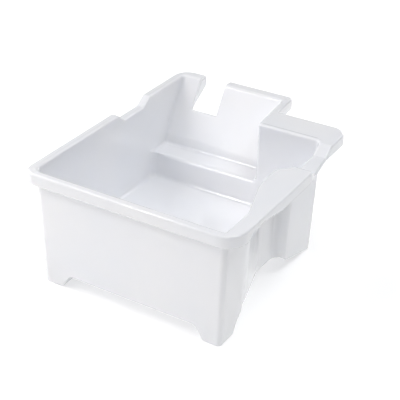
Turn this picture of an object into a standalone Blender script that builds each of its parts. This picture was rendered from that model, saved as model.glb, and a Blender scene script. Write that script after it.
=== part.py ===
"""Deep moulded developing tray on four feet, split into the named regions of its one moulding.

Plan positions are measured from the front-left corner of the rim's outline: x runs right,
y runs back and z runs up from the surface that the feet stand on. place() moves them so that
the tray is centred on the world origin.
"""
import math

import bmesh
import bpy
from mathutils import Vector

MM = 0.001

# Overall size
WIDTH = 240 * MM
DEPTH = 294 * MM
HEIGHT = 129.5 * MM

# The moulding
WALL = 3 * MM                  # wall, floor and rim thickness
DRAFT = 3 * MM                 # how far a wall leans in over the full height
RIGHT_DRAFT = 5.5 * MM         # the same for the outer faces on the right
GAP = 0.3 * MM                 # clearance between neighbouring regions
FLOOR_TOP = 30 * MM
FLOOR_UNDER = FLOOR_TOP - WALL
RIM_UNDER = HEIGHT - WALL
WALL_FOOT = FLOOR_UNDER + GAP / 2
SKIRT_TOP = FLOOR_UNDER - GAP / 2
WALL_HEAD = RIM_UNDER - GAP

# Outer wall faces at rim height
FRONT_FACE = 6 * MM
LEFT_FACE = 7 * MM
RIGHT_FACE = 226.8 * MM
RIGHT_REAR_FACE = 221 * MM
REAR_FACE = 217 * MM
LEFT_BEND = 12.5 * MM          # corner radii of the walls at rim height
FRONT_RIGHT_BEND = 6.5 * MM
REAR_RIGHT_BEND = 10 * MM
SMALLEST_BEND = 2 * MM
CORNER_RUN = 14 * MM           # how far a corner region reaches along its walls
CURVE_STEPS = 8
SHARP_ANGLE = 30               # degrees; flatter edges are shaded smooth

# Rim
FRONT_LEFT_RADIUS = 14.5 * MM
FRONT_RIGHT_RADIUS = 22 * MM
REAR_LEFT_RADIUS = 18 * MM
EAR_RADIUS = 5 * MM            # inner corner beside the sloping wall
LIP_BOTTOM = 117 * MM
LIP_WALL = 2.5 * MM
RAISED_LIP = 122.5 * MM        # the lip is shallower beside the grip recess
LIP_EASE = 12 * MM             # run over which the lip rises at the front
LIP_RETURN = 40 * MM           # run over which it deepens again
SHELF_RIGHT = 232.4 * MM
SHELF_BACK = 252 * MM
SHELF_RADIUS = 16 * MM
CENTRE_RIGHT = 146 * MM
CENTRE_RADIUS = 5 * MM

# Side notches
NOTCH_DROP = 8.7 * MM
NOTCH_START = 150 * MM
NOTCH_FLOOR_START = 160 * MM
NOTCH_FLOOR_END = 197.5 * MM
NOTCH_END = 210 * MM

# Rear ledge and the sloping upper rear wall
LEDGE_TOP = 60 * MM
LEDGE_BACK = 239 * MM
RISER_TOP = 68 * MM
RISER_LEAN = 2.2 * MM
SLOPE_HEAD = 281 * MM          # inner face of the slope at rim height
SLOPE = 0.645                  # run back for each unit of rise
SLOPE_WALL = 3.5 * MM          # horizontal thickness
SIDE_INNER = 144.6 * MM        # front end of the inner face beside the centre section
SIDE_TAPER = 0.089             # how fast that face turns left towards the back
SLOT_LEFT = 33 * MM
SLOT_RIGHT = 65.4 * MM
SLOT_BOTTOM = 98 * MM
GUSSET_WALL = 2.5 * MM         # webs that close the lip beside the slot
GUSSET_FOOT = SLOT_BOTTOM

# Grip recess in the right wall
COLUMN_END_TOP = 51.5 * MM
COLUMN_END_FOOT = 50 * MM
RECESS_FACE = 209.6 * MM
RECESS_START = 104 * MM
RECESS_END = 135 * MM
RECESS_TURN = 65               # degrees, of the step out to the rear leg
RECESS_HOLLOW_RADIUS = 4 * MM
RECESS_CORNER_RADIUS = 7.5 * MM

# Feet and the skirt between them
SKIRT_BOTTOM = 16.2 * MM
ARCH_RUN = 13 * MM
ARCH_FULLNESS = 0.7            # below 1 makes the sweep steeper near the foot
LEFT_FEET_END = 35 * MM
FRONT_LEFT_FOOT_BACK = 28 * MM
REAR_LEFT_FOOT_FRONT = 195 * MM
FRONT_RIGHT_FOOT_START = 202.5 * MM
FRONT_RIGHT_FOOT_BACK = 34.5 * MM
REAR_RIGHT_FOOT_START = 195 * MM
REAR_RIGHT_FOOT_FRONT = 203 * MM
HEEL_KNEE = 39 * MM            # lower edge behind the front right foot
HEEL_KNEE_HEIGHT = 11.5 * MM
HEEL_TOP = 20.5 * MM
LEG_CUT_START = 142 * MM       # lower edge of the rear leg, ahead of its foot
LEG_CUT_HEIGHT = 26 * MM
LEG_KNEE = 153 * MM
LEG_KNEE_HEIGHT = 16.7 * MM

# Corners of the walls: where the two faces meet, their outward signs, start angle and radius
FRONT_LEFT = ((LEFT_FACE, FRONT_FACE), (-1, -1), 180, LEFT_BEND)
FRONT_RIGHT = ((RIGHT_FACE, FRONT_FACE), (1, -1), 270, FRONT_RIGHT_BEND)
REAR_RIGHT = ((RIGHT_REAR_FACE, REAR_FACE), (1, 1), 0, REAR_RIGHT_BEND)
REAR_LEFT = ((LEFT_FACE, REAR_FACE), (-1, 1), 90, LEFT_BEND)


def clear_scene():
    for item in list(bpy.data.objects):
        bpy.data.objects.remove(item, do_unlink=True)


def make_material(name, colour, roughness):
    material = bpy.data.materials.new(name)
    material.use_nodes = True
    shader = material.node_tree.nodes["Principled BSDF"]
    shader.inputs["Base Color"].default_value = (*colour, 1.0)
    shader.inputs["Roughness"].default_value = roughness
    shader.inputs["Metallic"].default_value = 0.0
    return material


def place(point):
    return Vector((point[0] - WIDTH / 2, point[1] - DEPTH / 2, point[2]))


def smooth_step(fraction):
    fraction = min(max(fraction, 0.0), 1.0)
    return fraction * fraction * (3 - 2 * fraction)


def lean(height, draft=DRAFT):
    """How far a wall stands in from its place at rim height."""
    return draft * (HEIGHT - height) / HEIGHT


def draft_at(x):
    """Draft of a wall that faces right or left, which grows past the recess's back wall."""
    share = (x - RECESS_FACE) / (RIGHT_REAR_FACE - RECESS_FACE)
    return DRAFT + (RIGHT_DRAFT - DRAFT) * min(max(share, 0.0), 1.0)


def shifted(point, direction, height, inset):
    """A place on a wall's plan at rim height, moved in to its place at another height."""
    across = lean(height, draft_at(point[0])) + inset
    along = lean(height) + inset
    return (point[0] - direction[0] * across, point[1] - direction[1] * along, height)


def notch_drop(y):
    """How far the rim is lowered at depth y."""
    if y <= NOTCH_START or y >= NOTCH_END:
        return 0.0
    if y < NOTCH_FLOOR_START:
        return NOTCH_DROP * (y - NOTCH_START) / (NOTCH_FLOOR_START - NOTCH_START)
    if y > NOTCH_FLOOR_END:
        return NOTCH_DROP * (NOTCH_END - y) / (NOTCH_END - NOTCH_FLOOR_END)
    return NOTCH_DROP


def slope_inner(height):
    """Depth of the sloping rear wall's inner face at a height."""
    return SLOPE_HEAD - SLOPE * (HEIGHT - height)


def side_inner(y):
    """Inner face of the wall between the centre section and the shelf."""
    return SIDE_INNER - SIDE_TAPER * (y - REAR_FACE + WALL)


def right_edge(y):
    """Outer edge of the rim on the right, which steps in towards the shelf."""
    share = (y - NOTCH_START) / (NOTCH_FLOOR_END - NOTCH_START)
    return WIDTH - (WIDTH - SHELF_RIGHT) * min(max(share, 0.0), 1.0)


def right_lip(y):
    """Lower edge of the right lip, which is raised beside the grip recess."""
    rise = smooth_step((y - FRONT_RIGHT_RADIUS) / LIP_EASE)
    fall = smooth_step((y - COLUMN_END_TOP) / LIP_RETURN)
    return LIP_BOTTOM + (RAISED_LIP - LIP_BOTTOM) * (rise - fall)


def column_end(z):
    """Rear end of the right front column, which leans forward going down."""
    return COLUMN_END_FOOT + (COLUMN_END_TOP - COLUMN_END_FOOT) * z / HEIGHT


def add_object(name, mesh_builder, material):
    mesh = bpy.data.meshes.new(name)
    mesh_builder.normal_update()
    bmesh.ops.recalc_face_normals(mesh_builder, faces=mesh_builder.faces[:])
    mesh_builder.to_mesh(mesh)
    mesh_builder.free()
    mesh.materials.append(material)
    part = bpy.data.objects.new(name, mesh)
    bpy.context.scene.collection.objects.link(part)
    mesh.shade_smooth()
    mesh.set_sharp_from_angle(angle=math.radians(SHARP_ANGLE))
    return part


def loft(name, sections, material, closed=False):
    """A solid through equal sections; a closed one runs round in a ring."""
    builder = bmesh.new()
    rings = [[builder.verts.new(place(point)) for point in section] for section in sections]
    count = len(rings[0])
    followers = rings[1:] + rings[:1] if closed else rings[1:]
    for ring, follower in zip(rings, followers):
        for index in range(count):
            after = (index + 1) % count
            builder.faces.new((ring[index], ring[after], follower[after], follower[index]))
    if not closed:
        builder.faces.new(rings[0])
        builder.faces.new(rings[-1])
    return add_object(name, builder, material)


def panel(name, outline, outer, inner, material):
    """A flat wall whose outline is given as (along, height) pairs."""
    return loft(name, [[outer(*pair) for pair in outline], [inner(*pair) for pair in outline]], material)


def side_faces(face, outward):
    """Outer and inner faces of a wall that runs front to back."""
    def outer(y, z):
        return shifted((face, y), (outward, 0), z, 0)

    def inner(y, z):
        return shifted((face, y), (outward, 0), z, WALL)
    return outer, inner


def cross_faces(face, outward):
    """Outer and inner faces of a wall that runs left to right."""
    def outer(x, z):
        return shifted((x, face), (0, outward), z, 0)

    def inner(x, z):
        return shifted((x, face), (0, outward), z, WALL)
    return outer, inner


def arc(centre, radius, start, end, steps=CURVE_STEPS):
    """Points on an arc with their outward directions, angles in degrees."""
    stations = []
    for step in range(steps + 1):
        angle = math.radians(start + (end - start) * step / steps)
        direction = (math.cos(angle), math.sin(angle))
        stations.append(((centre[0] + radius * direction[0], centre[1] + radius * direction[1]), direction))
    return stations


def wall_section(point, direction, bottom, top):
    """Four corners of a leaning wall at one place on its plan."""
    places = ((bottom, 0), (top, 0), (top, WALL), (bottom, WALL))
    return [shifted(point, direction, height, inset) for height, inset in places]


def bend_points(corner, height, inset):
    """Rounded corner of the walls at a height, running counter-clockwise in plan."""
    face, signs, start, radius = corner
    bend = max(radius - lean(height) - inset, SMALLEST_BEND)
    x, y, height = shifted(face, signs, height, inset)
    centre = (x - signs[0] * bend, y - signs[1] * bend)
    return [(*point, height) for point, direction in arc(centre, bend, start, start + 90)]


def corner_wall(name, corner, material, top=WALL_HEAD):
    """Corner region: the bend with a short length of wall on each side of it."""
    face, signs, start, radius = corner
    side_point = (face[0], face[1] - signs[1] * CORNER_RUN)
    cross_point = (face[0] - signs[0] * CORNER_RUN, face[1])
    side_top = min(top, WALL_HEAD - notch_drop(side_point[1]))
    ends = [
        wall_section(side_point, (signs[0], 0), WALL_FOOT, side_top),
        wall_section(cross_point, (0, signs[1]), WALL_FOOT, top),
    ]
    if start % 180:
        ends.reverse()
    sections = ends[:1]
    for index, (x, y, height) in enumerate(bend_points(corner, WALL_HEAD, WALL)):
        head = min(top, height - notch_drop(y))
        places = ((WALL_FOOT, 0), (head, 0), (head, WALL), (WALL_FOOT, WALL))
        sections.append([bend_points(corner, *place)[index] for place in places])
    return loft(name, sections + ends[1:], material)


def rim_section(inner, outer, direction, drop=0.0, lip=LIP_BOTTOM):
    """Flange with a down-turned lip, from the wall's inner face to the rim's outer edge."""
    back = (outer[0] - direction[0] * LIP_WALL, outer[1] - direction[1] * LIP_WALL)
    top = HEIGHT - drop
    return [
        (*inner, top), (*outer, top), (*outer, lip), (*back, lip),
        (*back, top - WALL), (*inner, top - WALL),
    ]


def prism(name, outline, bottom, top, material):
    sections = [[(x, y, bottom) for x, y in outline], [(x, y, top) for x, y in outline]]
    return loft(name, sections, material)


def arch_outline(start, end):
    """Skirt outline whose lower edge sweeps down to the ground at both ends."""
    shares = [step / CURVE_STEPS for step in range(CURVE_STEPS + 1)]
    sweep = [(ARCH_RUN * share, SKIRT_BOTTOM * smooth_step(share ** ARCH_FULLNESS)) for share in shares]
    outline = [(start, SKIRT_TOP)]
    outline += [(start + run, height) for run, height in sweep]
    outline += [(end - run, height) for run, height in reversed(sweep)]
    outline.append((end, SKIRT_TOP))
    return outline


def recess_stations():
    """Plan of the step from the recess's back wall out to the rear leg, at rim height."""
    turn = math.radians(RECESS_TURN)
    radii = RECESS_HOLLOW_RADIUS + RECESS_CORNER_RADIUS
    straight = RIGHT_REAR_FACE - RECESS_FACE - radii * (1 - math.cos(turn))
    corner_y = RECESS_END + radii * math.sin(turn) + straight / math.tan(turn)
    hollow_centre = (RECESS_FACE + RECESS_HOLLOW_RADIUS, RECESS_END)
    corner_centre = (RIGHT_REAR_FACE - RECESS_CORNER_RADIUS, corner_y)
    hollow = arc(hollow_centre, RECESS_HOLLOW_RADIUS, 180, 180 - RECESS_TURN)
    stations = [(point, (-direction[0], -direction[1])) for point, direction in hollow]
    stations += arc(corner_centre, RECESS_CORNER_RADIUS, -RECESS_TURN, 0)
    stations.append(((RIGHT_REAR_FACE, NOTCH_START - GAP), (1.0, 0.0)))
    return stations


def inner_plan(height, inset):
    """Closed plan of the tub's inside at a height, set in by a clearance."""
    back = WALL + inset
    stations = [((RIGHT_FACE, column_end(height)), (1.0, 0.0)), ((RECESS_FACE, RECESS_START), (1.0, 0.0))]
    stations += recess_stations()
    places = bend_points(FRONT_LEFT, height, back) + bend_points(FRONT_RIGHT, height, back)
    places += [shifted(*station, height, back) for station in stations]
    places += bend_points(REAR_RIGHT, height, back) + bend_points(REAR_LEFT, height, back)
    return [(x, y) for x, y, height in places]


def build_floor(material):
    prism("floor_pan", inner_plan(FLOOR_UNDER, GAP), FLOOR_UNDER, FLOOR_TOP, material)


def build_front(material):
    outer, inner = cross_faces(FRONT_FACE, -1)
    start = LEFT_FACE + CORNER_RUN + GAP
    end = RIGHT_FACE - CORNER_RUN - GAP
    outline = [(start, WALL_FOOT), (end, WALL_FOOT), (end, WALL_HEAD), (start, WALL_HEAD)]
    panel("front_wall", outline, outer, inner, material)
    corner_wall("corner_front_left", FRONT_LEFT, material)
    corner_wall("corner_front_right", FRONT_RIGHT, material)


def build_left_side(material):
    outer, inner = side_faces(LEFT_FACE, -1)
    front = FRONT_FACE + CORNER_RUN + GAP
    rear = REAR_FACE - CORNER_RUN - GAP
    split = NOTCH_START
    outline = [(front, WALL_FOOT), (split - GAP, WALL_FOOT), (split - GAP, WALL_HEAD), (front, WALL_HEAD)]
    panel("left_wall_front", outline, outer, inner, material)
    outline = [(split, WALL_FOOT), (rear, WALL_FOOT)]
    for y in (rear, NOTCH_FLOOR_END, NOTCH_FLOOR_START, split):
        outline.append((y, WALL_HEAD - notch_drop(y)))
    panel("left_wall_notch", outline, outer, inner, material)
    upper_foot = LEDGE_TOP - WALL
    outline = [
        (rear + GAP, upper_foot),
        (LEDGE_BACK + RISER_LEAN, upper_foot),
        (slope_inner(RISER_TOP) + SLOPE_WALL, RISER_TOP),
        (slope_inner(WALL_HEAD) + SLOPE_WALL, WALL_HEAD),
        (NOTCH_END, WALL_HEAD),
        (rear + GAP, WALL_HEAD - notch_drop(rear + GAP)),
    ]
    panel("left_wall_rear", outline, outer, inner, material)
    corner_wall("corner_rear_left", REAR_LEFT, material, top=LEDGE_TOP - WALL - GAP)


def build_rear(material):
    outer, inner = cross_faces(REAR_FACE, 1)
    left = LEFT_FACE + CORNER_RUN + GAP
    middle = SIDE_INNER + WALL
    right = RIGHT_REAR_FACE - CORNER_RUN - GAP
    under_ledge = LEDGE_TOP - WALL - GAP
    outline = [(left, WALL_FOOT), (middle, WALL_FOOT), (middle, under_ledge), (left, under_ledge)]
    panel("lower_rear_wall", outline, outer, inner, material)
    start = middle + GAP
    outline = [(start, WALL_FOOT), (right, WALL_FOOT), (right, WALL_HEAD), (start, WALL_HEAD)]
    panel("shelf_front_wall", outline, outer, inner, material)
    corner_wall("corner_rear_right", REAR_RIGHT, material)
    build_ledge(material)
    build_slope(material)


def build_ledge(material):
    front = REAR_FACE - WALL - lean(LEDGE_TOP)
    left = LEFT_FACE + lean(LEDGE_TOP) + WALL + GAP
    back = LEDGE_BACK + RISER_LEAN
    profile = [
        (front, LEDGE_TOP), (LEDGE_BACK, LEDGE_TOP), (back, RISER_TOP), (back + SLOPE_WALL, RISER_TOP),
        (back + SLOPE_WALL - RISER_LEAN, LEDGE_TOP - WALL), (front, LEDGE_TOP - WALL),
    ]
    left_end = [(left, y, z) for y, z in profile]
    right_end = [(side_inner(y) - GAP, y, z) for y, z in profile]
    loft("rear_ledge", [left_end, right_end], material)


def build_slope(material):
    def outer(x, z):
        return (x, slope_inner(z) + SLOPE_WALL, z)

    def inner(x, z):
        return (x, slope_inner(z), z)

    def left_end(z):
        return LEFT_FACE + lean(z) + WALL + GAP

    def right_end(z):
        return side_inner(slope_inner(z) + SLOPE_WALL) - GAP

    foot = RISER_TOP + GAP
    ear = [(left_end(foot), foot), (SLOT_LEFT, foot), (SLOT_LEFT, WALL_HEAD),
           (left_end(WALL_HEAD), WALL_HEAD)]
    panel("upper_rear_wall_ear", ear, outer, inner, material)
    start = SLOT_LEFT + GAP
    end = SLOT_RIGHT - GAP
    sill = [(start, foot), (end, foot), (end, SLOT_BOTTOM), (start, SLOT_BOTTOM)]
    panel("slot_sill", sill, outer, inner, material)
    centre = [(SLOT_RIGHT, foot), (right_end(foot), foot), (right_end(WALL_HEAD), WALL_HEAD),
              (SLOT_RIGHT, WALL_HEAD)]
    panel("upper_rear_wall_centre", centre, outer, inner, material)

    def side_right_face(y, z):
        return (side_inner(y) + WALL, y, z)

    def side_left_face(y, z):
        return (side_inner(y), y, z)

    front = REAR_FACE - WALL - lean(LEDGE_TOP)
    outline = [
        (front, LEDGE_TOP - WALL), (LEDGE_BACK + SLOPE_WALL, LEDGE_TOP - WALL),
        (slope_inner(RISER_TOP) + SLOPE_WALL, RISER_TOP), (slope_inner(WALL_HEAD) + SLOPE_WALL, WALL_HEAD),
        (front, WALL_HEAD),
    ]
    panel("centre_side_wall", outline, side_right_face, side_left_face, material)

    behind = SLOPE_WALL + GAP
    lip_face = DEPTH - LIP_WALL - GAP
    outline = [
        (slope_inner(GUSSET_FOOT) + behind, GUSSET_FOOT), (lip_face, LIP_BOTTOM),
        (lip_face, WALL_HEAD), (slope_inner(WALL_HEAD) + behind, WALL_HEAD),
    ]
    for name, start in (("slot_gusset_left", SLOT_LEFT - GUSSET_WALL), ("slot_gusset_right", SLOT_RIGHT)):
        sections = [[(x, y, z) for y, z in outline] for x in (start, start + GUSSET_WALL)]
        loft(name, sections, material)


def build_right_side(material):
    outer, inner = side_faces(RIGHT_FACE, 1)
    front = FRONT_FACE + CORNER_RUN + GAP
    outline = [(front, WALL_FOOT), (column_end(WALL_FOOT), WALL_FOOT), (column_end(WALL_HEAD), WALL_HEAD),
               (front, WALL_HEAD)]
    panel("right_front_column", outline, outer, inner, material)

    outward = (1.0, 0.0)
    column_corner = []
    for height, inset in ((WALL_FOOT, 0), (WALL_HEAD, 0), (WALL_HEAD, WALL), (WALL_FOOT, WALL)):
        column_corner.append(shifted((RIGHT_FACE, column_end(height) + GAP), outward, height, inset))
    crease = wall_section((RECESS_FACE, RECESS_START), outward, WALL_FOOT, WALL_HEAD)
    loft("grip_recess_front_wall", [column_corner, crease], material)
    ends = ((RECESS_FACE, RECESS_START + GAP), (RECESS_FACE, RECESS_END - GAP))
    sections = [wall_section(point, outward, WALL_FOOT, WALL_HEAD) for point in ends]
    loft("grip_recess_back_wall", sections, material)
    sections = [wall_section(*station, WALL_FOOT, WALL_HEAD) for station in recess_stations()]
    loft("grip_recess_rear_wall", sections, material)

    outer, inner = side_faces(RIGHT_REAR_FACE, 1)
    end = REAR_FACE - CORNER_RUN - GAP
    outline = [(NOTCH_START, WALL_FOOT), (end, WALL_FOOT)]
    for y in (end, NOTCH_FLOOR_END, NOTCH_FLOOR_START, NOTCH_START):
        outline.append((y, WALL_HEAD - notch_drop(y)))
    panel("right_rear_wall", outline, outer, inner, material)


def foot_ring(name, corner, inner_x, inner_y, material):
    """A hollow foot, open underneath, whose outer corner follows the walls."""
    face, signs, start, radius = corner
    places = ((0.0, 0), (SKIRT_TOP, 0), (SKIRT_TOP, WALL), (0.0, WALL))
    columns = []
    for height, inset in places:
        outer_x, outer_y, height = shifted(face, signs, height, inset)
        turned_x = inner_x + signs[0] * inset
        turned_y = inner_y + signs[1] * inset
        square = [(turned_x, outer_y, height), (turned_x, turned_y, height), (outer_x, turned_y, height)]
        if start % 180:
            square.reverse()
        columns.append(bend_points(corner, height, inset) + square)
    return loft(name, list(zip(*columns)), material, closed=True)


def build_feet(material):
    foot_ring("foot_front_left", FRONT_LEFT, LEFT_FEET_END, FRONT_LEFT_FOOT_BACK, material)
    foot_ring("foot_front_right", FRONT_RIGHT, FRONT_RIGHT_FOOT_START, FRONT_RIGHT_FOOT_BACK, material)
    foot_ring("foot_rear_left", REAR_LEFT, LEFT_FEET_END, REAR_LEFT_FOOT_FRONT, material)
    foot_ring("foot_rear_right", REAR_RIGHT, REAR_RIGHT_FOOT_START, REAR_RIGHT_FOOT_FRONT, material)

    start = LEFT_FEET_END + GAP
    outer, inner = cross_faces(FRONT_FACE, -1)
    panel("front_skirt", arch_outline(start, FRONT_RIGHT_FOOT_START - GAP), outer, inner, material)
    outer, inner = cross_faces(REAR_FACE, 1)
    panel("rear_skirt", arch_outline(start, REAR_RIGHT_FOOT_START - GAP), outer, inner, material)
    outer, inner = side_faces(LEFT_FACE, -1)
    outline = arch_outline(FRONT_LEFT_FOOT_BACK + GAP, REAR_LEFT_FOOT_FRONT - GAP)
    panel("left_skirt", outline, outer, inner, material)

    outer, inner = side_faces(RIGHT_FACE, 1)
    start = FRONT_RIGHT_FOOT_BACK + GAP
    outline = [
        (start, SKIRT_TOP), (start, 0.0), (HEEL_KNEE, HEEL_KNEE_HEIGHT),
        (COLUMN_END_FOOT, HEEL_TOP), (COLUMN_END_FOOT, SKIRT_TOP),
    ]
    panel("right_front_skirt", outline, outer, inner, material)
    outer, inner = side_faces(RIGHT_REAR_FACE, 1)
    end = REAR_RIGHT_FOOT_FRONT - GAP
    outline = [
        (LEG_CUT_START, SKIRT_TOP), (LEG_CUT_START, LEG_CUT_HEIGHT), (LEG_KNEE, LEG_KNEE_HEIGHT),
        (end, 0.0), (end, SKIRT_TOP),
    ]
    panel("right_rear_skirt", outline, outer, inner, material)


def rim_corner(name, inner_arc, outer_arc, material):
    sections = [rim_section(inside[0], *outside) for inside, outside in zip(inner_arc, outer_arc)]
    loft(name, sections, material)


def build_rim(material):
    inner_front = FRONT_FACE + WALL
    inner_left = LEFT_FACE + WALL
    left_centre = (LEFT_FACE + LEFT_BEND, FRONT_FACE + LEFT_BEND)
    right_centre = (RIGHT_FACE - FRONT_RIGHT_BEND, FRONT_FACE + FRONT_RIGHT_BEND)
    ends = (
        (left_centre[0] + GAP, FRONT_LEFT_RADIUS + GAP),
        (right_centre[0] - GAP, WIDTH - FRONT_RIGHT_RADIUS - GAP),
    )
    sections = [rim_section((inner_x, inner_front), (outer_x, 0.0), (0, -1)) for inner_x, outer_x in ends]
    loft("rim_front", sections, material)
    inner_arc = arc(left_centre, LEFT_BEND - WALL, 180, 270)
    outer_arc = arc((FRONT_LEFT_RADIUS, FRONT_LEFT_RADIUS), FRONT_LEFT_RADIUS, 180, 270)
    rim_corner("rim_corner_front_left", inner_arc, outer_arc, material)
    inner_arc = arc(right_centre, FRONT_RIGHT_BEND - WALL, 270, 360)
    outer_centre = (WIDTH - FRONT_RIGHT_RADIUS, FRONT_RIGHT_RADIUS)
    outer_arc = arc(outer_centre, FRONT_RIGHT_RADIUS, 270, 360)
    rim_corner("rim_corner_front_right", inner_arc, outer_arc, material)

    def left_rim(name, stops):
        sections = []
        for inner_y, outer_y in stops:
            drop = notch_drop(outer_y)
            sections.append(rim_section((inner_left, inner_y), (0.0, outer_y), (-1, 0), drop))
        loft(name, sections, material)

    notch_stops = (NOTCH_START, NOTCH_FLOOR_START, NOTCH_FLOOR_END, NOTCH_END - GAP)
    before_notch = NOTCH_START - GAP
    rear_inner = SLOPE_HEAD - EAR_RADIUS - GAP
    rear_outer = DEPTH - REAR_LEFT_RADIUS - GAP
    front_stop = (left_centre[1] + GAP, FRONT_LEFT_RADIUS + GAP)
    left_rim("rim_left_front", (front_stop, (before_notch, before_notch)))
    left_rim("rim_left_notch", [(y, y) for y in notch_stops])
    left_rim("rim_left_rear", ((NOTCH_END, NOTCH_END), (rear_inner, rear_outer)))

    inner_arc = arc((inner_left + EAR_RADIUS, SLOPE_HEAD - EAR_RADIUS), EAR_RADIUS, 180, 90)
    outer_arc = arc((REAR_LEFT_RADIUS, DEPTH - REAR_LEFT_RADIUS), REAR_LEFT_RADIUS, 180, 90)
    sections = [rim_section(inside[0], *outside) for inside, outside in zip(inner_arc, outer_arc)]
    sections.append(rim_section((SLOT_LEFT, SLOPE_HEAD), (SLOT_LEFT, DEPTH), (0, 1)))
    loft("rim_ear", sections, material)
    build_centre_rim(material)


def build_centre_rim(material):
    """Flange over the centre section and down its right side to the shelf."""
    inner_corner = (side_inner(SLOPE_HEAD), SLOPE_HEAD)
    arc_centre = (CENTRE_RIGHT - CENTRE_RADIUS, DEPTH - CENTRE_RADIUS)
    before_corner = inner_corner[0] - CENTRE_RADIUS
    sections = [rim_section((x, SLOPE_HEAD), (x, DEPTH), (0, 1)) for x in (SLOT_RIGHT, before_corner)]
    for station in arc(arc_centre, CENTRE_RADIUS, 90, 45):
        sections.append(rim_section(inner_corner, *station))
    loft("rim_rear_centre", sections, material)

    shift = 2 * GAP
    shifted_corner = (inner_corner[0], inner_corner[1] - shift)
    sections = []
    for point, direction in arc(arc_centre, CENTRE_RADIUS, 45, 0):
        sections.append(rim_section(shifted_corner, (point[0], point[1] - shift), direction))
    end = SHELF_BACK + GAP
    widening = SIDE_TAPER * (DEPTH - CENTRE_RADIUS - end)
    sections.append(rim_section((side_inner(end), end), (CENTRE_RIGHT + widening, end), (1, 0)))
    loft("rim_centre_side", sections, material)


def build_shelf(material):
    wall_centre = (RIGHT_REAR_FACE - REAR_RIGHT_BEND, REAR_FACE - REAR_RIGHT_BEND)
    radius = REAR_RIGHT_BEND - WALL
    turn = math.degrees(math.asin((NOTCH_END - wall_centre[1]) / radius))
    shelf_centre = (SHELF_RIGHT - SHELF_RADIUS, SHELF_BACK - SHELF_RADIUS)
    outline = [(SIDE_INNER, REAR_FACE - WALL)]
    outline += [point for point, direction in arc(wall_centre, radius, 90, turn)]
    outline.append((SHELF_RIGHT, NOTCH_END))
    outline += [point for point, direction in arc(shelf_centre, SHELF_RADIUS, 0, 90)]
    outline.append((side_inner(SHELF_BACK), SHELF_BACK))
    prism("rear_shelf", outline, RIM_UNDER, HEIGHT, material)

    def lip_section(point, direction):
        back = (point[0] - direction[0] * LIP_WALL, point[1] - direction[1] * LIP_WALL)
        head = RIM_UNDER - GAP
        return [(*point, LIP_BOTTOM), (*point, head), (*back, head), (*back, LIP_BOTTOM)]

    lip_end = CENTRE_RIGHT + SIDE_TAPER * (DEPTH - SHELF_BACK) + GAP
    stations = [((SHELF_RIGHT, NOTCH_END), (1, 0))] + arc(shelf_centre, SHELF_RADIUS, 0, 90)
    stations.append(((lip_end, SHELF_BACK), (0, 1)))
    loft("shelf_lip", [lip_section(*station) for station in stations], material)


def build_right_rim(material):
    inner_x = RIGHT_FACE - WALL
    front_stops = [(FRONT_FACE + FRONT_RIGHT_BEND + GAP, FRONT_RIGHT_RADIUS + GAP)]
    for step in range(1, CURVE_STEPS + 1):
        y = FRONT_RIGHT_RADIUS + GAP + LIP_EASE * step / CURVE_STEPS
        front_stops.append((y, y))
    front_stops.append((COLUMN_END_TOP, COLUMN_END_TOP))
    sections = []
    for inner_y, outer_y in front_stops:
        section = rim_section((inner_x, inner_y), (WIDTH, outer_y), (1, 0), lip=right_lip(outer_y))
        sections.append(section)
    loft("rim_right_front", sections, material)

    start = COLUMN_END_TOP + GAP
    end = NOTCH_START - GAP
    flange_edge = WIDTH - LIP_WALL - GAP
    outline = [(inner_x, start), (RECESS_FACE - WALL, RECESS_START)]
    for point, direction in recess_stations():
        outline.append((point[0] - direction[0] * WALL, point[1] - direction[1] * WALL))
    outline += [(flange_edge, end), (flange_edge, start)]
    prism("grip_flange", outline, RIM_UNDER, HEIGHT, material)

    back = WIDTH - LIP_WALL
    stops = [start + LIP_RETURN * step / CURVE_STEPS for step in range(CURVE_STEPS + 1)]
    stops.append(end)
    sections = []
    for y in stops:
        low = right_lip(y)
        sections.append([(WIDTH, y, low), (WIDTH, y, HEIGHT), (back, y, HEIGHT), (back, y, low)])
    loft("grip_lip", sections, material)

    inner_rear = RIGHT_REAR_FACE - WALL
    bend = REAR_FACE - REAR_RIGHT_BEND
    radius = REAR_RIGHT_BEND - WALL

    def inner_edge(y):
        if y <= bend:
            return inner_rear
        return inner_rear - radius + math.sqrt(radius ** 2 - (y - bend) ** 2)

    sections = []
    for y in (NOTCH_START, NOTCH_FLOOR_START, NOTCH_FLOOR_END, bend, NOTCH_END - GAP):
        sections.append(rim_section((inner_edge(y), y), (right_edge(y), y), (1, 0), notch_drop(y)))
    loft("rim_right_notch", sections, material)


def build_tray():
    plastic = make_material("white_polypropylene", (0.86, 0.875, 0.895), 0.32)
    build_floor(plastic)
    build_front(plastic)
    build_left_side(plastic)
    build_rear(plastic)
    build_right_side(plastic)
    build_feet(plastic)
    build_rim(plastic)
    build_shelf(plastic)
    build_right_rim(plastic)


clear_scene()
build_tray()
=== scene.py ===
"""Looks for the developing tray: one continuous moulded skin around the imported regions.

The skin is described as a signed distance in millimetres, in plan coordinates measured from the
front-left corner of the rim's outline: x runs right, y runs back and z runs up from the feet.
Surface nets turn it into a mesh, whose vertices are then moved onto the exact surface.
"""

import math

import bmesh
import bpy
import numpy as np
from mathutils import Matrix, Vector


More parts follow.
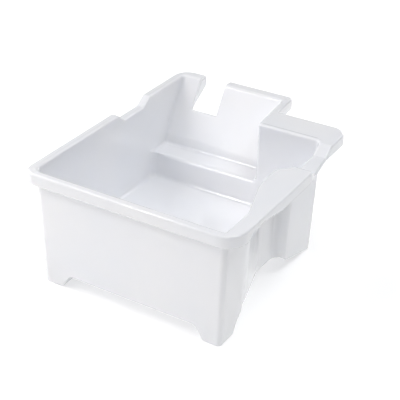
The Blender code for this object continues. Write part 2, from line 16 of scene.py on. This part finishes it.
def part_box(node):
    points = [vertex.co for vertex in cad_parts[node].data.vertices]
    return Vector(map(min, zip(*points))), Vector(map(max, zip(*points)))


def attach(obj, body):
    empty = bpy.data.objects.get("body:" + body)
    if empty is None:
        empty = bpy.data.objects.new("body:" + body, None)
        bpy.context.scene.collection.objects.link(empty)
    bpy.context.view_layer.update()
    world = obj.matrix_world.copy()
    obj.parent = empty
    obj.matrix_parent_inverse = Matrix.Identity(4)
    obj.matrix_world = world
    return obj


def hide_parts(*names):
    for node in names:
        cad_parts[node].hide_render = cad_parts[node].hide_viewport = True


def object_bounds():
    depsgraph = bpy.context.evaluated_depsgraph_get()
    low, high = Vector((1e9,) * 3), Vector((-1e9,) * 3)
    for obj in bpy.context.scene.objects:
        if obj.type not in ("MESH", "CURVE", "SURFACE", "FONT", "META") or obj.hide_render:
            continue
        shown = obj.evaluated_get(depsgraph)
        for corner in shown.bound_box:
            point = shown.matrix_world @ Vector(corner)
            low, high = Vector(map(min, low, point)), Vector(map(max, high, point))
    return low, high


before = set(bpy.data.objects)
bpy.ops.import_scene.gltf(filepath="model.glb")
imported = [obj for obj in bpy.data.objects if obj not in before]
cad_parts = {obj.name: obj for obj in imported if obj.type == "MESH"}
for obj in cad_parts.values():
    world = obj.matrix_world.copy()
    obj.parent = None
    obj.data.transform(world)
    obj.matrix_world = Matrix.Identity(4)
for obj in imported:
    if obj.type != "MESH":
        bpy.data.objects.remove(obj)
cad_low, cad_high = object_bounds()

TO_MM = 1000.0
SPACING = 1.25                 # grid step in millimetres
MARGIN = 3                     # empty grid steps around the skin
SLOPE_REACH = 0.02             # for the slope of the distance, in millimetres
EDGE_REACH = 0.1               # for the slope of a lower edge, in millimetres
SETTLE_ROUNDS = 4
SETTLE_REACH = 0.5             # a point moves no further than this share of the grid step
FLATTEST = 0.05                # keeps the step finite where the distance is flat

# The moulding in millimetres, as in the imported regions
WIDTH, DEPTH, HEIGHT = ((cad_high[i] - cad_low[i]) * TO_MM for i in range(3))
FLOOR_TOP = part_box("floor_pan")[1].z * TO_MM
FLOOR_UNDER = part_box("floor_pan")[0].z * TO_MM
WALL = FLOOR_TOP - FLOOR_UNDER
DRAFT = 3.0
RIGHT_DRAFT = 5.5
FRONT_FACE = 6.0
LEFT_FACE = 7.0
RIGHT_FACE = 226.8
LEG_FACE = 221.0
REAR_FACE = 217.0
LEFT_BEND = 12.5
COLUMN_BEND = 5.0
LEG_BEND = 10.0
SMALLEST_BEND = 1.2

# Grip recess in the right wall
COLUMN_END_TOP = 51.5
COLUMN_END_FOOT = 50.0
COLUMN_EDGE = 2.5
RECESS_FACE = 209.6
RECESS_START = 104.0
STEP_TURN = math.radians(65)
STEP_PLACE = (215.3, 141.3)
STEP_DRAFT = 4.3
STEP_HOLLOW = 4.0
STEP_EDGE = 7.5

# Stepped and sloping rear wall
UPPER_START = 205.0
SLOPE_HEAD = 281.0
SLOPE = 0.645
SIDE_INNER = 144.6
SIDE_START = 214.0
SIDE_TAPER = 0.089
LEDGE_TOP = 60.0
LEDGE_BACK = 239.0
RISER_HEIGHT = 8.0
RISER_LEAN = 2.2
SLOT_MIDDLE = 49.2
SLOT_HALF = 16.2
SLOT_BOTTOM = 98.0
SLOT_START = 245.0
WEB_START = 262.0
GUSSET_MIDDLE = 17.45          # of the webs beside the slot, from the slot's middle
GUSSET_HALF = 1.25

# Rim
NOTCH = ((150.0, 0.0), (160.0, 8.7), (197.5, 8.7), (210.0, 0.0))
SHELF_STEP = (150.0, 197.5)
SHELF_RIGHT = 232.4
SHELF_BACK = 252.0
CENTRE_RIGHT = 146.0
RIM_FRONT_LEFT = 14.5          # corner radii of its outline
RIM_FRONT_RIGHT = 22.0
RIM_REAR_LEFT = 18.0
RIM_CENTRE = 5.0
RIM_SHELF = 16.0
LIP_BOTTOM = 117.0
LIP_WALL = 2.5
LIP_RISE = 5.5
LIP_UP = (22.0, 34.0)          # the right lip rises, then deepens again
LIP_DOWN = (52.0, 92.0)

# Feet and skirt
SKIRT_BOTTOM = 16.2
SKIRT_DEPTH = 19.0             # a skirt's cut reaches this far in from its face
ARCH_RUN = 13.0
ARCH_FULLNESS = 0.7
LEFT_FEET_END = 35.0
FRONT_FOOT_START = 202.5
REAR_FOOT_START = 195.0
LEFT_ARCH = (28.0, 195.0)
RIGHT_EDGE = ((34.5, 0.0), (37.5, 8.0), (40.0, 12.0), (49.0, 19.5), (50.5, 26.2), (107.0, 26.2),
              (134.0, 24.4), (144.0, 24.0), (153.0, 16.7), (203.0, 1.8), (206.0, 0.0))
RIGHT_EDGE_DEPTH = 28.0

# Plastic
COOL_WHITE = (0.865, 0.88, 0.915, 1)
WARM_WHITE = (0.895, 0.9, 0.92, 1)
# Painted shade: hollow creases take a darker, bluish tone
CREASE_SHADE_TONE = (0.80, 0.825, 0.87, 1)
# Painted highlight and wear: convex edges take a whiter tone
WEAR_AND_HIGHLIGHT_WHITE = (0.93, 0.935, 0.945, 1)
ROUGHNESS = (0.12, 0.2)
EDGE_ROUGHNESS = 0.08
CLOUD_SPAN = (0.35, 0.65)      # stretches of noise and of pointiness over which a tone changes
SCUFF_SPAN = (0.38, 0.68)
CREASE_SHADE_SPAN = (0.5, 0.42)
WEAR_AND_HIGHLIGHT_SPAN = (0.53, 0.62)
CREASE_SHADE_SHARE = 0.5
WEAR_AND_HIGHLIGHT_SHARE = 0.6
GLOSS = 0.6                    # of the smooth moulded skin over the plastic
GLOSS_ROUGHNESS = 0.05
SUBSURFACE = 0.25
SCATTER_DEPTH = 0.005
SCATTER_SHARES = (1.0, 1.0, 1.1)
CLOUDS = (11.0, 3.0)           # scale and detail of each noise
SCUFFS = (60.0, 6.0)
WAVES = (28.0, 2.0)
WAVE_STRENGTH = 0.25
WAVE_DEPTH = 0.0006
GRAIN = (1400.0, 3.0)
GRAIN_STRENGTH = 0.12
GRAIN_DEPTH = 0.0001

# Camera
CAMERA_PLACE = (0.4776, -0.8062, 0.6110)
CAMERA_TURN = math.radians(30.93)
CAMERA_FALL = math.radians(30.39)
CAMERA_ROLL = math.radians(0.82)
LENS = 92.75
SENSOR = 36.0

# Stage
LIGHT_AIM = 0.06
LIGHT_DISTANCE = 1.5
FLOOR_HALF = 6.0
FLOOR_SINK = 0.0002
FLOOR_TONE = (0.8, 0.8, 0.8, 1)
FLOOR_ROUGHNESS = 0.9
FLOOR_GLOW = 0.38
WORLD_GLOW = 0.0
LIGHTS = (                     # name, azimuth, elevation, width, height, power and colour
    ("top_right", 0, 65, 0.8, 0.8, 8.6, (0.97, 0.985, 1.0)),
    ("top_back", 90, 65, 0.8, 0.8, 1.3, (0.98, 0.985, 1.0)),
    ("top_front", 270, 65, 0.8, 0.8, 3.0, (1.0, 0.985, 0.99)),
    ("left", 202.5, 40, 0.6, 0.6, 5.0, (1.0, 0.975, 0.975)),
    ("edge_box", 229, 48, 0.22, 0.22, 2.8, (1.0, 0.98, 0.97)),
    ("panel_box", 243, 30, 0.6, 0.6, 1.8, (1.0, 0.98, 0.98)),
    ("front_right", 292.5, 40, 0.6, 0.6, 1.6, (1.0, 0.985, 0.99)),
    ("back_right", 67.5, 40, 0.6, 0.6, 3.4, (0.98, 0.985, 1.0)),
    ("back_left", 157.5, 40, 0.6, 0.6, 3.0, (0.98, 0.985, 1.0)),
    ("low_front_left", 225, 12, 0.6, 0.6, 1.8, (1.0, 0.98, 0.99)),
    ("low_left", 180, 12, 0.6, 0.6, 3.0, (1.0, 1.0, 0.98)),
    ("low_back", 90, 12, 0.6, 0.6, 3.6, (1.0, 0.98, 0.98)),
)

# Fillets
RIM_EDGE = 2.2
MOUTH_EDGE = 2.7
SMALL_EDGE = 0.8
FOOT_EDGE = 1.2
TUB_FILLET = 5.0               # round the deep floor
CORNER_FILLET = 4.5            # beside the sloping wall
FLOOR_FILLET = 3.0             # round the ledge
WALL_FILLET = 1.5
LEDGE_FILLET = 4.0
FLUSH_FILLET = 0.02            # share of a fillet left where two hollows have a common wall


def round_max(a, b, radius):
    """Intersection of two distances with a rounded convex edge."""
    outside = np.hypot(np.maximum(a + radius, 0), np.maximum(b + radius, 0))
    return np.minimum(np.maximum(a, b), -radius) + outside


def round_min(a, b, radius):
    """Union of two distances with a filleted hollow edge."""
    return -round_max(-a, -b, radius)


def smooth_step(share):
    """Share of 0 to 1 eased at both ends."""
    share = np.clip(share, 0.0, 1.0)
    return share * share * (3 - 2 * share)


def lean(z, draft=DRAFT):
    """How far a wall stands in from its place at rim height."""
    return draft * (HEIGHT - z) / HEIGHT


def plan(x, y, z, inset):
    """Distance to the tub's upright walls, moved in by an inset."""
    move = lean(z) + inset
    right_move = lean(z, RIGHT_DRAFT) + inset
    left = LEFT_FACE + move - x
    front = FRONT_FACE + move - y
    rear = y - REAR_FACE + move
    column = x - RIGHT_FACE + right_move
    leg = x - LEG_FACE + right_move
    back = x - RECESS_FACE + move

    column_end = COLUMN_END_FOOT + (COLUMN_END_TOP - COLUMN_END_FOOT) * z / HEIGHT
    run = RECESS_START - column_end
    fall = RIGHT_FACE - RECESS_FACE - lean(z, RIGHT_DRAFT) + lean(z)
    length = np.sqrt(run * run + fall * fall)
    oblique = ((x - RECESS_FACE + lean(z)) * run + (y - RECESS_START) * fall) / length + inset
    step_x = x - STEP_PLACE[0] + lean(z, STEP_DRAFT)
    step = step_x * math.cos(STEP_TURN) - (y - STEP_PLACE[1]) * math.sin(STEP_TURN) + inset

    def bend(radius):
        return np.maximum(radius - move, SMALLEST_BEND)

    front_right = round_max(front, column, max(COLUMN_BEND - inset, SMALLEST_BEND))
    rear_right = round_max(rear, leg, bend(LEG_BEND))
    fore = round_max(front_right, oblique, max(COLUMN_EDGE - inset, SMALL_EDGE))
    aft = round_max(rear_right, step, max(STEP_EDGE - inset, SMALL_EDGE))
    right = round_min(round_min(fore, back, SMALL_EDGE + inset), aft, STEP_HOLLOW + inset)
    right = np.maximum(right, np.maximum(front, rear))
    left_side = np.maximum(round_max(left, front, bend(LEFT_BEND)), round_max(left, rear, bend(LEFT_BEND)))
    return np.maximum(left_side, right)


def rear_profile(y, z, inset):
    """Distance to the stepped and sloping rear wall's inner side, moved back by a thickness."""
    slope_scale = 1 / math.hypot(1, SLOPE)
    slope = (y - SLOPE_HEAD + SLOPE * (HEIGHT - z)) * slope_scale
    riser_scale = 1 / math.hypot(RISER_HEIGHT, RISER_LEAN)
    riser = ((y - LEDGE_BACK) * RISER_HEIGHT - (z - LEDGE_TOP) * RISER_LEAN) * riser_scale
    back = round_min(slope, riser, WALL_FILLET) - inset
    return round_max(back, LEDGE_TOP - inset - z, FLOOR_FILLET)


def along_stops(place, stops):
    """Value between stops, each given as a place and its value."""
    return np.interp(place, [stop[0] for stop in stops], [stop[1] for stop in stops])


def rim_outline(x, y):
    """Distance to the rim's outline in plan: the tub, the shelf and the centre section."""
    left = -x
    front = -y
    inward = (WIDTH - SHELF_RIGHT) * np.clip((y - SHELF_STEP[0]) / (SHELF_STEP[1] - SHELF_STEP[0]), 0, 1)
    right = x - WIDTH + inward
    centre_right = x - CENTRE_RIGHT - SIDE_TAPER * (DEPTH - y)
    behind = y - DEPTH
    rear_left = round_max(left, behind, RIM_REAR_LEFT)
    centre = np.maximum(rear_left, round_max(centre_right, behind, RIM_CENTRE))
    shelf = round_max(right, y - SHELF_BACK, RIM_SHELF)
    rear = round_min(centre, shelf, WALL_FILLET)
    front_left = round_max(left, front, RIM_FRONT_LEFT)
    front_right = round_max(front, right, RIM_FRONT_RIGHT)
    return np.maximum(np.maximum(front_left, front_right), rear)


def below_edge(edge, along, z):
    """Distance to the space below a lower edge whose height is a function of the place along it."""
    steepness = (edge(along + EDGE_REACH) - edge(along - EDGE_REACH)) / (2 * EDGE_REACH)
    return (z - edge(along)) / np.sqrt(1 + steepness * steepness)


def arch(start, end):
    """Height of a skirt's lower edge, which sweeps down to the ground at both ends."""
    def edge(along):
        share = np.clip(np.minimum(along - start, end - along) / ARCH_RUN, 0, 1)
        return SKIRT_BOTTOM * smooth_step(share ** ARCH_FULLNESS)
    return edge


def right_edge_height(y):
    return along_stops(y, RIGHT_EDGE)


def underside(x, y, z, inner):
    """Open space below the floor, inside the skirt and inside each hollow foot."""
    front_left = np.maximum(x - LEFT_FEET_END, y - LEFT_ARCH[0])
    front_right = np.maximum(FRONT_FOOT_START - x, y - RIGHT_EDGE[0][0])
    rear_left = np.maximum(x - LEFT_FEET_END, LEFT_ARCH[1] - y)
    rear_right = np.maximum(REAR_FOOT_START - x, RIGHT_EDGE[-2][0] - y)
    feet = np.minimum(np.minimum(front_left, front_right), np.minimum(rear_left, rear_right))
    inside_feet = round_max(feet + WALL, inner, WALL_FILLET)
    between_feet = round_max(-feet, inner, WALL_FILLET)
    return round_max(np.minimum(inside_feet, between_feet), z - FLOOR_UNDER, WALL_FILLET)


def tub_hollow(y, z, inner, left, side, clear_of_left):
    """Distance to the open space in the tub: the deep part, then the part over the ledge."""
    deep_part = round_max(inner, FLOOR_TOP - z, TUB_FILLET)
    between_sides = round_max(left + WALL, side, FLOOR_FILLET)
    over_ledge = round_max(rear_profile(y, z, 0.0), between_sides, CORNER_FILLET)
    return round_min(deep_part, np.maximum(over_ledge, UPPER_START - y), LEDGE_FILLET * clear_of_left)


def tub_walls(x, y, z, inner, left, side, clear_of_left, top):
    """Distance to the outside of the tub with its skirt and feet, up to the rim's top."""
    behind_ledge = round_max(rear_profile(y, z, WALL), np.maximum(left, side - WALL), WALL_FILLET)
    behind_ledge = np.maximum(behind_ledge, UPPER_START - y)
    walls = round_min(plan(x, y, z, 0.0), behind_ledge, WALL_FILLET * clear_of_left)
    walls = np.maximum(walls, z - top + SMALL_EDGE)
    walls = round_max(walls, -underside(x, y, z, inner), SMALL_EDGE)
    front_arch = arch(LEFT_FEET_END, FRONT_FOOT_START)
    rear_arch = arch(LEFT_FEET_END, REAR_FOOT_START)
    cuts = (
        np.maximum(below_edge(front_arch, x, z), y - FRONT_FACE - SKIRT_DEPTH),
        np.maximum(below_edge(rear_arch, x, z), REAR_FACE - SKIRT_DEPTH - y),
        np.maximum(below_edge(arch(*LEFT_ARCH), y, z), x - LEFT_FACE - SKIRT_DEPTH),
        np.maximum(below_edge(right_edge_height, y, z), RIGHT_FACE - RIGHT_EDGE_DEPTH - x),
    )
    for cut in cuts:
        walls = round_max(walls, -cut, SMALL_EDGE)
    return round_max(walls, -z, FOOT_EDGE)


def rim_flange(x, y, z, outline, top):
    """Distance to the rim: a flange with a turned-down lip."""
    rise = smooth_step((y - LIP_UP[0]) / (LIP_UP[1] - LIP_UP[0]))
    fall = smooth_step((y - LIP_DOWN[0]) / (LIP_DOWN[1] - LIP_DOWN[0]))
    lip_bottom = LIP_BOTTOM + np.where(x > WIDTH / 2, LIP_RISE * (rise - fall), 0.0)
    under = round_max(outline + LIP_WALL, z - top + WALL, WALL_FILLET)
    rim = round_max(outline, z - top, RIM_EDGE)
    rim = round_max(rim, lip_bottom - z, SMALL_EDGE)
    return round_max(rim, -under, SMALL_EDGE)


def slot_webs(x, y, z, outline, top):
    """Distance to the webs that close the lip on each side of the slot."""
    foot = SLOT_BOTTOM + (y - WEB_START) * (LIP_BOTTOM - SLOT_BOTTOM) / (DEPTH - WEB_START)
    web = np.maximum(np.abs(np.abs(x - SLOT_MIDDLE) - GUSSET_MIDDLE) - GUSSET_HALF, foot - z)
    return round_max(np.maximum(web, WEB_START - y), np.maximum(outline, z - top) + RIM_EDGE, SMALL_EDGE)


def distance(x, y, z):
    """Signed distance of the moulding, negative inside the plastic."""
    side = (x - SIDE_INNER + SIDE_TAPER * (y - SIDE_START)) / math.hypot(1, SIDE_TAPER)
    left = LEFT_FACE + lean(z) - x
    inner = plan(x, y, z, WALL)
    clear_of_left = np.clip((x - LEFT_FACE) / LEFT_BEND - 1, FLUSH_FILLET, 1)
    top = HEIGHT - along_stops(y, NOTCH)
    outline = rim_outline(x, y)
    walls = tub_walls(x, y, z, inner, left, side, clear_of_left, top)
    rim = np.minimum(rim_flange(x, y, z, outline, top), slot_webs(x, y, z, outline, top))
    solid = round_min(walls, rim, WALL_FILLET)
    solid = round_max(solid, -tub_hollow(y, z, inner, left, side, clear_of_left), MOUTH_EDGE)
    slot = round_max(np.abs(x - SLOT_MIDDLE) - SLOT_HALF, SLOT_BOTTOM - z, WALL_FILLET)
    return round_max(solid, -np.maximum(slot, SLOT_START - y), SMALL_EDGE)


def surface_nets(low, high, step):
    """Vertices and quads of the zero surface on a regular grid."""
    axes = [np.arange(a - MARGIN * step, b + (MARGIN + 1) * step, step) for a, b in zip(low, high)]
    grid = np.meshgrid(*axes, indexing="ij", sparse=True)
    values = distance(*grid).astype(np.float32)
    inside = values < 0
    shape = np.array(values.shape)
    corner_sets = [(i, j, k) for i in (0, 1) for j in (0, 1) for k in (0, 1)]

    def corner(array, offset):
        return array[tuple(slice(o, o + n - 1) for o, n in zip(offset, shape))]

    count = sum(corner(inside, offset).astype(np.int8) for offset in corner_sets)
    active = (count > 0) & (count < len(corner_sets))
    index = np.full(active.shape, -1, np.int64)
    cells = np.argwhere(active)
    index[tuple(cells.T)] = np.arange(len(cells))
    total = np.zeros((len(cells), 3))
    crossings = np.zeros(len(cells))
    for a in corner_sets:
        for axis in range(3):
            if a[axis]:
                continue
            b = tuple(1 if i == axis else a[i] for i in range(3))
            value_a = values[tuple((cells + a).T)]
            value_b = values[tuple((cells + b).T)]
            crossed = (value_a < 0) != (value_b < 0)
            share = np.where(crossed, value_a / np.where(crossed, value_a - value_b, 1), 0)
            point = cells + np.array(a, float)
            point[:, axis] += share
            total += point * crossed[:, None]
            crossings += crossed
    vertices = total / crossings[:, None] * step + np.array([axis[0] for axis in axes])
    quads = []
    for axis in range(3):
        u, v = [(1, 2), (2, 0), (0, 1)][axis]
        first = inside[tuple(slice(0, -1) if i == axis else slice(1, -1) for i in range(3))]
        second = inside[tuple(slice(1, None) if i == axis else slice(1, -1) for i in range(3))]
        for flip, crossed in ((False, first & ~second), (True, ~first & second)):
            edges = np.argwhere(crossed)
            base = edges.copy()
            for other in (u, v):
                base[:, other] += 1
            ring = []
            for du, dv in ((0, 0), (1, 0), (1, 1), (0, 1)):
                cell = base.copy()
                cell[:, u] -= du
                cell[:, v] -= dv
                ring.append(index[tuple(cell.T)])
            ring = np.stack(ring, axis=1)
            quads.append(ring[:, ::-1] if flip else ring)
    return vertices, np.concatenate(quads)


def gradient(points):
    """Slope of the distance along each axis, which points out of the plastic."""
    result = np.zeros_like(points)
    for axis in range(3):
        shift = np.zeros(3)
        shift[axis] = SLOPE_REACH
        ahead = distance(*(points + shift).T)
        behind = distance(*(points - shift).T)
        result[:, axis] = (ahead - behind) / (2 * SLOPE_REACH)
    return result


def settle(points):
    """Moves points onto the exact surface, never further than a share of the grid step."""
    start = points.copy()
    reach = SETTLE_REACH * SPACING
    for _ in range(SETTLE_ROUNDS):
        slope = gradient(points)
        size = np.maximum((slope * slope).sum(axis=1), FLATTEST)
        points = points - slope * (distance(*points.T) / size)[:, None]
        offset = np.clip(points - start, -reach, reach)
        points = start + offset
    return points


def build_skin():
    """Mesh of the moulding with the surface's own normals, its frame at the centre of the feet."""
    low = np.zeros(3)
    high = np.array([WIDTH, DEPTH, HEIGHT])
    vertices, quads = surface_nets(low, high, SPACING)
    vertices = settle(vertices)
    normals = gradient(vertices)
    normals /= np.linalg.norm(normals, axis=1)[:, None]
    world = (vertices - np.array([WIDTH / 2, DEPTH / 2, 0.0])) / TO_MM
    mesh = bpy.data.meshes.new("tray_moulding")
    mesh.from_pydata(world.tolist(), [], quads.tolist())
    mesh.validate()
    mesh.shade_smooth()
    mesh.normals_split_custom_set_from_vertices(normals.tolist())
    skin = bpy.data.objects.new("tray_moulding", mesh)
    bpy.context.scene.collection.objects.link(skin)
    return skin


def add_node(tree, kind, **settings):
    """Adds a node and sets its properties, and its inputs where the key names one."""
    node = tree.nodes.new(kind)
    for key, value in settings.items():
        if key in node.inputs:
            node.inputs[key].default_value = value
        else:
            setattr(node, key, value)
    return node


def mapped(tree, source, low, high, to_low, to_high):
    """Value stretched from one range to another and clamped there."""
    node = add_node(tree, "ShaderNodeMapRange")
    ranges = {"From Min": low, "From Max": high, "To Min": to_low, "To Max": to_high}
    for key, value in ranges.items():
        node.inputs[key].default_value = value
    tree.links.new(source, node.inputs["Value"])
    return node.outputs["Result"]


def added(tree, first, second):
    """Sum of two values."""
    node = add_node(tree, "ShaderNodeMath", operation="ADD")
    tree.links.new(first, node.inputs[0])
    tree.links.new(second, node.inputs[1])
    return node.outputs["Value"]


def blended(tree, share, first, second):
    """Mix of two colours, each given as a colour or as a socket."""
    node = add_node(tree, "ShaderNodeMix", data_type="RGBA")
    tree.links.new(share, node.inputs["Factor"])
    for socket, colour in ((node.inputs[6], first), (node.inputs[7], second)):
        if isinstance(colour, tuple):
            socket.default_value = colour
        else:
            tree.links.new(colour, socket)
    return node.outputs[2]


def plastic_material():
    """Slightly translucent white polypropylene with faint clouding and moulding waves; hollow creases
    carry painted shade and convex edges are painted whiter, part wear and part highlight.
    """
    material = bpy.data.materials.new("white_polypropylene_moulded")
    material.use_nodes = True
    tree = material.node_tree
    shader = tree.nodes["Principled BSDF"]
    place = add_node(tree, "ShaderNodeTexCoord").outputs["Object"]

    def noise(scale, detail):
        node = add_node(tree, "ShaderNodeTexNoise", Scale=scale, Detail=detail)
        tree.links.new(place, node.inputs["Vector"])
        return node.outputs["Fac"]

    clouds = noise(*CLOUDS)
    scuffs = noise(*SCUFFS)
    edges = add_node(tree, "ShaderNodeNewGeometry").outputs["Pointiness"]
    clouded = blended(tree, mapped(tree, clouds, *CLOUD_SPAN, 0, 1), COOL_WHITE, WARM_WHITE)
    # painted shade: hollow creases are blended towards the darker bluish tone
    crease_shaded = blended(tree, mapped(tree, edges, *CREASE_SHADE_SPAN, 0, CREASE_SHADE_SHARE), clouded, CREASE_SHADE_TONE)
    # painted highlight and wear: convex edges are blended towards white
    worn_and_highlighted = blended(tree, mapped(tree, edges, *WEAR_AND_HIGHLIGHT_SPAN, 0, WEAR_AND_HIGHLIGHT_SHARE), crease_shaded, WEAR_AND_HIGHLIGHT_WHITE)
    tree.links.new(worn_and_highlighted, shader.inputs["Base Color"])

    gloss = mapped(tree, scuffs, *SCUFF_SPAN, *ROUGHNESS)
    wear = mapped(tree, edges, *WEAR_AND_HIGHLIGHT_SPAN, 0, EDGE_ROUGHNESS)
    tree.links.new(added(tree, gloss, wear), shader.inputs["Roughness"])
    shader.inputs["Coat Weight"].default_value = GLOSS
    shader.inputs["Coat Roughness"].default_value = GLOSS_ROUGHNESS
    shader.inputs["Subsurface Weight"].default_value = SUBSURFACE
    shader.inputs["Subsurface Radius"].default_value = SCATTER_SHARES
    shader.inputs["Subsurface Scale"].default_value = SCATTER_DEPTH

    waves = add_node(tree, "ShaderNodeBump", Strength=WAVE_STRENGTH, Distance=WAVE_DEPTH)
    tree.links.new(noise(*WAVES), waves.inputs["Height"])
    grain = add_node(tree, "ShaderNodeBump", Strength=GRAIN_STRENGTH, Distance=GRAIN_DEPTH)
    tree.links.new(noise(*GRAIN), grain.inputs["Height"])
    tree.links.new(waves.outputs["Normal"], grain.inputs["Normal"])
    tree.links.new(grain.outputs["Normal"], shader.inputs["Normal"])
    return material


def add_camera():
    """Camera with a long lens, turned left, tilted down and rolled a little."""
    data = bpy.data.cameras.new("camera")
    data.sensor_width = SENSOR
    data.lens = LENS
    camera = bpy.data.objects.new("camera", data)
    bpy.context.scene.collection.objects.link(camera)
    ahead = Vector((-math.sin(CAMERA_TURN), math.cos(CAMERA_TURN), 0))
    forward = ahead * math.cos(CAMERA_FALL) - Vector((0, 0, math.sin(CAMERA_FALL)))
    right = Vector((math.cos(CAMERA_TURN), math.sin(CAMERA_TURN), 0))
    up = right.cross(forward)
    right = right * math.cos(CAMERA_ROLL) + up * math.sin(CAMERA_ROLL)
    up = right.cross(forward)
    rotation = Matrix((right, up, -forward)).transposed()
    camera.matrix_world = Matrix.Translation(CAMERA_PLACE) @ rotation.to_4x4()
    bpy.context.scene.camera = camera


def add_light(name, azimuth, elevation, width, height, power, colour):
    """Soft box that faces the tray from a direction; azimuth 0 is +x and 90 is +y."""
    turn = math.radians(azimuth)
    rise = math.radians(elevation)
    direction = Vector((math.cos(turn) * math.cos(rise), math.sin(turn) * math.cos(rise), math.sin(rise)))
    data = bpy.data.lights.new(name, "AREA")
    data.shape = "RECTANGLE"
    data.size = width
    data.size_y = height
    data.energy = power
    data.color = colour
    light = bpy.data.objects.new(name, data)
    bpy.context.scene.collection.objects.link(light)
    light.location = Vector((0, 0, LIGHT_AIM)) + direction * LIGHT_DISTANCE
    light.rotation_euler = (-direction).to_track_quat("-Z", "Y").to_euler()


def add_stage():
    """Pale floor that glows faintly, a dark world and the soft boxes."""
    floor_mesh = bpy.data.meshes.new("floor")
    builder = bmesh.new()
    bmesh.ops.create_grid(builder, x_segments=1, y_segments=1, size=FLOOR_HALF)
    builder.to_mesh(floor_mesh)
    builder.free()
    floor = bpy.data.objects.new("floor", floor_mesh)
    bpy.context.scene.collection.objects.link(floor)
    floor.location.z = -FLOOR_SINK
    material = bpy.data.materials.new("pale_floor")
    material.use_nodes = True
    shader = material.node_tree.nodes["Principled BSDF"]
    shader.inputs["Base Color"].default_value = FLOOR_TONE
    shader.inputs["Roughness"].default_value = FLOOR_ROUGHNESS
    shader.inputs["Emission Color"].default_value = (1, 1, 1, 1)
    shader.inputs["Emission Strength"].default_value = FLOOR_GLOW
    floor_mesh.materials.append(material)
    world = bpy.data.worlds.new("studio")
    world.use_nodes = True
    background = world.node_tree.nodes["Background"]
    background.inputs["Color"].default_value = (1, 1, 1, 1)
    background.inputs["Strength"].default_value = WORLD_GLOW
    bpy.context.scene.world = world
    for light in LIGHTS:
        add_light(*light)


add_camera()
skin = build_skin()
skin.data.materials.append(plastic_material())
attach(skin, "root")
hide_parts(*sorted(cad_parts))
add_stage()
bpy.context.scene.view_settings.view_transform = "Standard"
